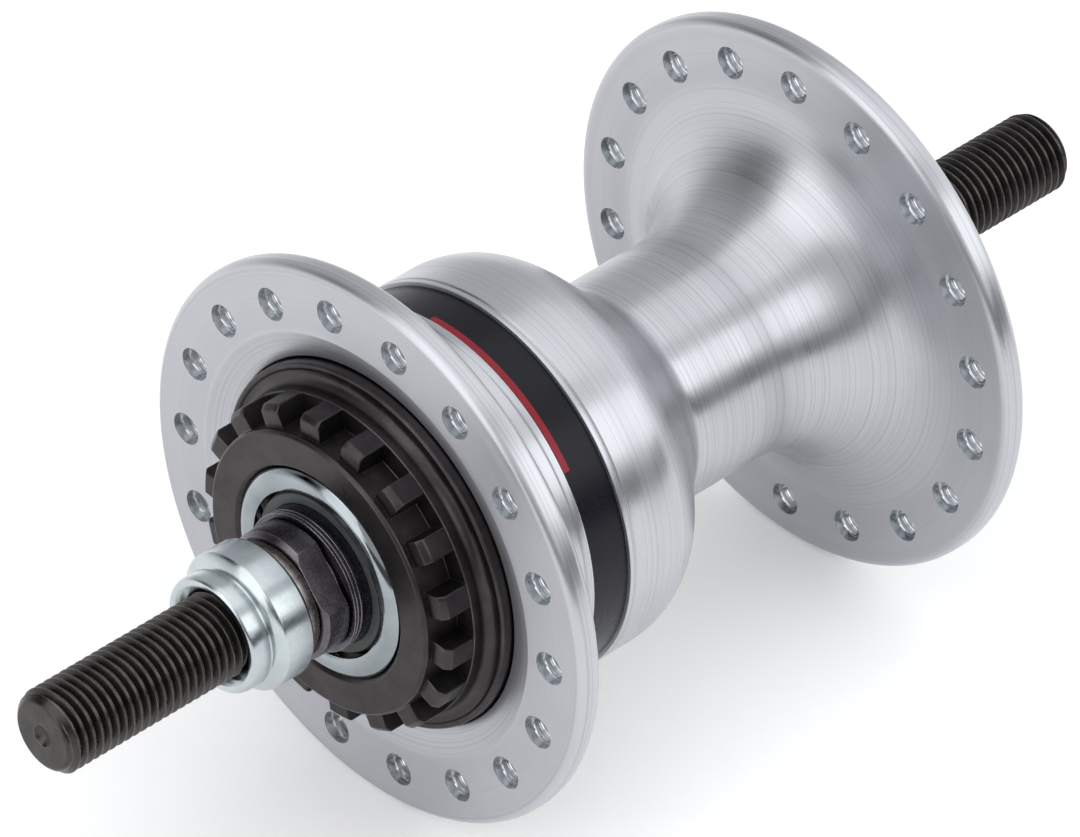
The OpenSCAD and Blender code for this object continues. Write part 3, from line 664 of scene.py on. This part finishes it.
lockWasher = dict(steps=128, corner=0.25, leftRadius=6.6, rightRadius=8.0)
fixingNut = dict(steps=160, corner=0.12, backY=42.5, body=7.9, bodyY=46.4, backChamfer=0.4,
                 frontChamfer=0.3, collar=6.7, slopeY=47.1, neck=6.3, neckBackY=47.25, neckFrontY=47.55,
                 collarBackY=47.7, collarFrontY=49.3, endRound=(6.57, 49.8), faceEdge=6.3, faceY=50.0,
                 mouth=5.8)
rightLocknut = dict(steps=144, backY=46.0, blank=9.2, blankY=48.9, across=7.5, faceY=50.0, mouth=5.4,
                    flatRound=0.1, roundFrom=6.0)


def makeWasher(name, radius, back, front, mirrored, node):
    bm = turnedMesh((threadBore, back), [
        (radius, back), (radius, front), (threadBore, front), (threadBore, back)],
        lockWasher["steps"], lockWasher["corner"], mirrored)
    newPiece(name, bm, (washerSteel,), "axle_set", [node])


def makeBrakeFixingNut():
    nut, bore = fixingNut, threadBore
    body, bodyY, backY, back = nut["body"], nut["bodyY"], nut["backY"], nut["backChamfer"]
    collar, neck, mouth, faceY = nut["collar"], nut["neck"], nut["mouth"], nut["faceY"]
    bm = turnedMesh((bore, backY), [
        (body - back, backY), (body, backY + back), (body, bodyY),
        (body - back, bodyY + nut["frontChamfer"]), (collar, nut["slopeY"]),
        (neck, nut["neckBackY"]), (neck, nut["neckFrontY"]),
        (collar, nut["collarBackY"]), (collar, nut["collarFrontY"]), nut["endRound"],
        (nut["faceEdge"], faceY), (mouth, faceY), (bore, faceY - (mouth - bore)), (bore, backY)],
        nut["steps"], nut["corner"])
    newPiece("brakeFixingNut", bm, (zinc,), "axle_set", ["brake_fixing_nut"])


def makeRightLocknut():
    # a round blank with a cone on its face, cut to a hexagon
    nut, bore = rightLocknut, threadBore
    backY, faceY = nut["backY"], nut["faceY"]
    bm = turnedMesh((bore, backY), [
        (nut["blank"], backY), (nut["blank"], nut["blankY"]), (nut["across"], faceY),
        (nut["mouth"], faceY), (bore, faceY - (nut["mouth"] - bore)), (bore, backY)], nut["steps"], 0)
    cutFlats(bm, nut["across"], range(30, 360, 60))
    roundEdges(bm, nut["flatRound"], segments=2, leastTurn=20,
               chosen=lambda edge: innerRadius(edge) > nut["roundFrom"])
    bmesh.ops.scale(bm, vec=(1, -1, 1), verts=bm.verts)
    bmesh.ops.recalc_face_normals(bm, faces=bm.faces)
    newPiece("rightLocknut", bm, (zinc,), "axle_set", ["right_locknut"])


makeWasher("leftLockWasher", lockWasher["leftRadius"], bearingCone["leftEnd"], fixingNut["backY"],
           False, "left_lock_washer")
makeWasher("rightLockWasher", lockWasher["rightRadius"], bearingCone["rightEnd"], rightLocknut["backY"],
           True, "right_lock_washer")
makeBrakeFixingNut()
makeRightLocknut()
print("nuts and washers made")


# Threaded axle

# 24 threads to the inch, as measured along both axle ends. The crest and the root of the thread
# are flat for a small share of the pitch. The end face has a rounded edge, given by radius and by
# depth below the tip, and a centre dimple.
threadedAxle = dict(core=4.45, crest=4.75, root=4.13, pitch=1.058, flatShare=0.07, crownShare=0.4,
                    crownDrop=0.02, tip=73.0, chamfer=0.9, inner=49.0, turnSteps=56, coreSteps=96,
                    tipRound=0.15, tipEdge=((3.92, 0.08), (3.8, 0.02), (3.62, 0)), dimple=1.3)


def openRim(bm, height):
    # the open edges that lie at this place along the axle
    return [e for e in bm.edges
            if e.is_boundary and all(abs(v.co.y - height * mm) < 0.01 * mm for v in e.verts)]


def closeEnd(bm, rim, rings):
    # carries an open rim inwards through rings of [radius, height], the last one a point
    for radius, height in rings:
        grown = bmesh.ops.extrude_edge_only(bm, edges=rim)["geom"]
        rim = [e for e in grown if isinstance(e, bmesh.types.BMEdge) and e.is_boundary]
        for vert in {v for e in rim for v in e.verts}:
            share = radius * mm / hypot(vert.co.x, vert.co.z)
            vert.co = (vert.co.x * share, height * mm, vert.co.z * share)
    weld(bm)


def threadedEnd(side):
    # one thread profile carried round and along the axle, trimmed, chamfered and capped
    axle = threadedAxle
    pitch, inner, tip, dimple = axle["pitch"], axle["inner"], axle["tip"], axle["dimple"]
    root, crest, flat = axle["root"], axle["crest"], pitch * axle["flatShare"]
    # the thread starts below the inner end and runs past the tip, to be trimmed at both
    turns = int((tip - inner) / pitch) + 3
    low = inner - 1.2 * pitch
    rise = [(root, 0), (root, flat), ((root + crest) / 2, pitch / 4 + flat / 2),
            (crest - axle["crownDrop"], pitch / 2 - flat), (crest, pitch / 2 - flat * axle["crownShare"])]
    fall = [(radius, pitch - y) for radius, y in reversed(rise)]
    bm = bmesh.new()
    drawProfile(bm, (root, low), [(radius, low + y) for radius, y in rise[1:] + fall])
    bmesh.ops.spin(bm, geom=everything(bm), cent=(0, 0, 0), axis=(0, 1, 0),
                   dvec=(0, pitch * mm / axle["turnSteps"], 0), angle=2 * pi * turns,
                   steps=turns * axle["turnSteps"])
    weld(bm)
    shoulder = tip - axle["tipRound"]
    for height, facing in ((inner, -1), (shoulder, 1)):
        cutOff(bm, (0, height * mm, 0), (0, facing, 0))
    for vert in bm.verts:
        radius = hypot(vert.co.x, vert.co.z)
        most = (crest - max(0, vert.co.y / mm - (tip - axle["chamfer"]))) * mm
        if radius > most:
            vert.co.x, vert.co.z = vert.co.x * most / radius, vert.co.z * most / radius
    weld(bm)
    bmesh.ops.edgeloop_fill(bm, edges=openRim(bm, inner))
    closeEnd(bm, openRim(bm, shoulder), [(radius, tip - depth) for radius, depth in axle["tipEdge"]]
             + [(dimple, tip), (0, tip - dimple)])
    if side < 0:
        halfTurn = Vector((0, 1, 0)).rotation_difference(Vector((0, -1, 0)))
        bmesh.ops.rotate(bm, cent=(0, 0, 0), verts=bm.verts, matrix=halfTurn.to_matrix())
    bmesh.ops.recalc_face_normals(bm, faces=bm.faces)
    return bm


def makeAxle():
    core, inner = threadedAxle["core"], threadedAxle["inner"]
    bm = turnedMesh((0, -inner), [(core, -inner), (core, inner), (0, inner)], threadedAxle["coreSteps"], 0)
    joinInto(bm, threadedEnd(1))
    joinInto(bm, threadedEnd(-1))
    newPiece("threadedAxle", bm, (blackSteel,), "axle_set", ["axle"])


makeAxle()
print("axle made")


# Label

labelBand = dict(steps=240, corner=0.05, inner=hubShell["label"], outer=22.25, back=hubShell["labelBackY"],
                 front=hubShell["labelFrontY"])
labelStripe = dict(top=22.35, back=16.15, front=16.95, fromAngle=84, toAngle=143)


def makeLabelBand():
    band = labelBand
    inner, outer, back, front = band["inner"], band["outer"], band["back"], band["front"]
    bm = turnedMesh((inner, back), [(outer, back), (outer, front), (inner, front), (inner, back)],
                    band["steps"], band["corner"])
    newPiece("labelBand", bm, (filmDark,), "hub", ["label_band"])


def makeLabelStripe():
    stripe, low = labelStripe, labelBand["outer"]
    top, back, front = stripe["top"], stripe["back"], stripe["front"]
    length = stripe["toAngle"] - stripe["fromAngle"]
    bm = bmesh.new()
    drawProfile(bm, (low, back), [(top, back), (top, front), (low, front), (low, back)])
    swingSection(bm, stripe["fromAngle"], length, steps=length)
    newPiece("labelStripe", bm, (filmRed,), "hub", ["label_stripe"])


makeLabelBand()
makeLabelStripe()

# The bearings inside keep their CAD shape and get their own metal
for nodeName, metal in {"left_bearing_cup": bearingSteel, "right_bearing_cup": bearingSteel,
                        "left_balls": bearingSteel, "right_balls": bearingSteel,
                        "left_ball_cage": cageSteel, "right_ball_cage": cageSteel}.items():
    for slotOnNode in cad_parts[nodeName].material_slots:
        slotOnNode.material = metal
print("label and bearings dressed")


# Floor, light and camera

studio = dict(floorHeight=-hubShell["flange"] * mm, floorSize=6.0, floorColours=("#f2f2f2", "#f4f4f4"),
              floorGrain=0.8, floorLift=0.2, room=1.0, roomColour="#f5f6f8")
# Soft boxes: where they stand seen from the hub in degrees, distance and size in metres
lamps = {
    "topBox": dict(around=0, above=90, away=1.1, size=(0.95, 1.9), roll=0, bright=0.54),
    "leftBox": dict(around=80, above=26, away=0.8, size=(0.55, 0.98), roll=0, bright=1.2),
    "frontBox": dict(around=194, above=34.5, away=0.8, size=(1.5, 0.4), roll=-10, bright=1.05),
}
blackCard = dict(around=163, away=0.42, wide=70, top=11, steps=36, grain=1.5,
                 colours=("#505050", "#5c5c5c"))
# Soft patches on the room's walls: direction in degrees, how wide and tall they are, and what they
# add to its light. Those that add less than nothing are black flags.
patches = {
    "leftSide": dict(around=38, above=33, wide=34, tall=24, soft=(20, 8), adds=-0.34),
    "leftEdge": dict(around=42, above=24, wide=13, tall=12, soft=(8, 8), adds=-0.45),
    "behind": dict(around=350, above=36, wide=60, tall=29, soft=(40, 8), adds=-0.33),
    "frontRoom": dict(around=118, above=30, wide=32, tall=35, soft=(12, 12), adds=-0.3),
    "rightBehind": dict(around=265, above=14, wide=28, tall=28, soft=(14, 10), adds=0.38),
}
# Where the camera stands, how far its aim lies from the origin, and its lens, all in mm or degrees
view = dict(azimuth=226.229, elevation=37.742, distance=969.05, right=-2.013, up=1.440, ahead=0.5,
            lens=306.35, sensor=36)


def paperFloor():
    # Seamless white paper: matt, and lifted to white for the camera and for reflections
    material, tree, shader, place = newMaterial("white_paper_sweep")
    fibre = addNode(tree, "TexNoise", "Fac",
                    {"Vector": place, "Scale": 1 / (studio["floorGrain"] * mm), "Detail": 2.0})
    shade, light = studio["floorColours"]
    colour = addNode(tree, "Mix", 2, {0: fibre, 6: linear(shade), 7: linear(light)}, data_type="RGBA")
    seen = 0.0
    for ray in ("Is Camera Ray", "Is Glossy Ray", "Is Transmission Ray"):
        seen = addNode(tree, "Math", 0, (seen, addNode(tree, "LightPath", ray)), operation="MAXIMUM")
    lift = addNode(tree, "Math", 0, (seen, studio["floorLift"]), operation="MULTIPLY")
    setInputs(tree, shader, {"Base Color": colour, "Roughness": 0.9, "Specular IOR Level": 0.1,
                             "Emission Color": (1, 1, 1, 1), "Emission Strength": lift})
    return material


def makeFloor():
    bm = bmesh.new()
    bmesh.ops.create_grid(bm, x_segments=2, y_segments=2, size=studio["floorSize"] / 2)
    bmesh.ops.translate(bm, vec=(0, 0, studio["floorHeight"]), verts=bm.verts)
    floor = newObject("floor", bm, (paperFloor(),))


def towards(around, above):
    return Vector((cos(radians(around)) * cos(radians(above)), sin(radians(around)) * cos(radians(above)),
                   sin(radians(above))))


def makeLamps():
    for name, lamp in lamps.items():
        light = bpy.data.lights.new(name, "AREA")
        light.shape, light.size, light.size_y = "RECTANGLE", *lamp["size"]
        light.energy = lamp["bright"] * pi * light.size * light.size_y
        holder = bpy.data.objects.new(name, light)
        holder.location = towards(lamp["around"], lamp["above"]) * lamp["away"]
        holder.rotation_mode = "QUATERNION"
        holder.rotation_quaternion = (holder.location.to_track_quat("Z", "Y")
                                      @ Quaternion((0, 0, 1), radians(lamp["roll"])))
        scene.collection.objects.link(holder)


def blackCardboard():
    # Matt black card with a faint fibre
    material, tree, shader, place = newMaterial("matt_black_card")
    fibre = addNode(tree, "TexNoise", "Fac",
                    {"Vector": place, "Scale": 1 / (blackCard["grain"] * mm), "Detail": 2.0})
    dark, light = blackCard["colours"]
    colour = addNode(tree, "Mix", 2, {0: fibre, 6: linear(dark), 7: linear(light)}, data_type="RGBA")
    setInputs(tree, shader, {"Base Color": colour, "Roughness": 0.95})
    return material


def makeCard():
    # a curved strip of black card that stands low in front, seen only in reflections
    away, wide = blackCard["away"], blackCard["wide"]
    bm = bmesh.new()
    start = towards(blackCard["around"] - wide, 0) * away
    foot = bm.verts.new((start.x, start.y, studio["floorHeight"]))
    top = bmesh.ops.extrude_vert_indiv(bm, verts=[foot])["verts"][0]
    top.co.z = away * sin(radians(blackCard["top"]))
    bmesh.ops.spin(bm, geom=everything(bm), cent=(0, 0, 0), axis=(0, 0, 1), dvec=(0, 0, 0),
                   angle=radians(2 * wide), steps=blackCard["steps"])
    card = newObject("blackCard", bm, (blackCardboard(),))
    card.visible_camera = card.visible_diffuse = card.visible_shadow = False


def patchMask(tree, direction, patch):
    # 1 inside a patch of the room's wall and 0 outside it, with a soft edge between
    turned = addNode(tree, "VectorRotate", 0, {"Vector": direction, "Angle": radians(-patch["around"])},
                     rotation_type="Z_AXIS")
    x, y, z = [addNode(tree, "SeparateXYZ", axis, (turned,)) for axis in "XYZ"]
    aside = addNode(tree, "Math", 0, (y, x), operation="ARCTAN2")
    raised = addNode(tree, "Math", 0, (z,), operation="ARCSINE")
    lifted = addNode(tree, "Math", 0, (raised, radians(patch["above"])), operation="SUBTRACT")
    masks = []
    for angle, half, soft in zip((aside, lifted), (patch["wide"], patch["tall"]), patch["soft"]):
        size = addNode(tree, "Math", 0, (angle,), operation="ABSOLUTE")
        masks.append(addNode(tree, "MapRange", 0, (size, radians(half - soft), radians(half + soft), 1, 0),
                             interpolation_type="SMOOTHSTEP"))
    return addNode(tree, "Math", 0, masks, operation="MULTIPLY")


def makeRoom():
    # an even pale room with the soft patches on it
    world = bpy.data.worlds.new("studio")
    scene.world = world
    world.use_nodes = True
    tree = world.node_tree
    direction = addNode(tree, "TexCoord", "Generated")
    light = studio["room"]
    for patch in patches.values():
        mask = patchMask(tree, direction, patch)
        added = addNode(tree, "Math", 0, (mask, patch["adds"]), operation="MULTIPLY")
        light = addNode(tree, "Math", 0, (light, added), operation="ADD")
    setInputs(tree, tree.nodes["Background"], {"Color": linear(studio["roomColour"]), "Strength": light})


def makeCamera():
    around, above = radians(view["azimuth"]), radians(view["elevation"])
    back = Vector((sin(around) * cos(above), -cos(around) * cos(above), sin(above)))
    right = Vector((cos(around), sin(around), 0))
    aim = (right * view["right"] + back.cross(right) * view["up"] + Vector((0, view["ahead"], 0))) * mm
    data = bpy.data.cameras.new("camera")
    data.lens, data.sensor_width = view["lens"], view["sensor"]
    data.clip_start, data.clip_end = 0.05, 20
    camera = bpy.data.objects.new("camera", data)
    camera.location = aim + back * view["distance"] * mm
    camera.rotation_mode = "QUATERNION"
    camera.rotation_quaternion = (-back).to_track_quat("-Z", "Y")
    scene.collection.objects.link(camera)
    scene.camera = camera


makeFloor()
makeLamps()
makeCard()
makeRoom()
makeCamera()
scene.view_settings.view_transform = "Standard"
print("studio made")
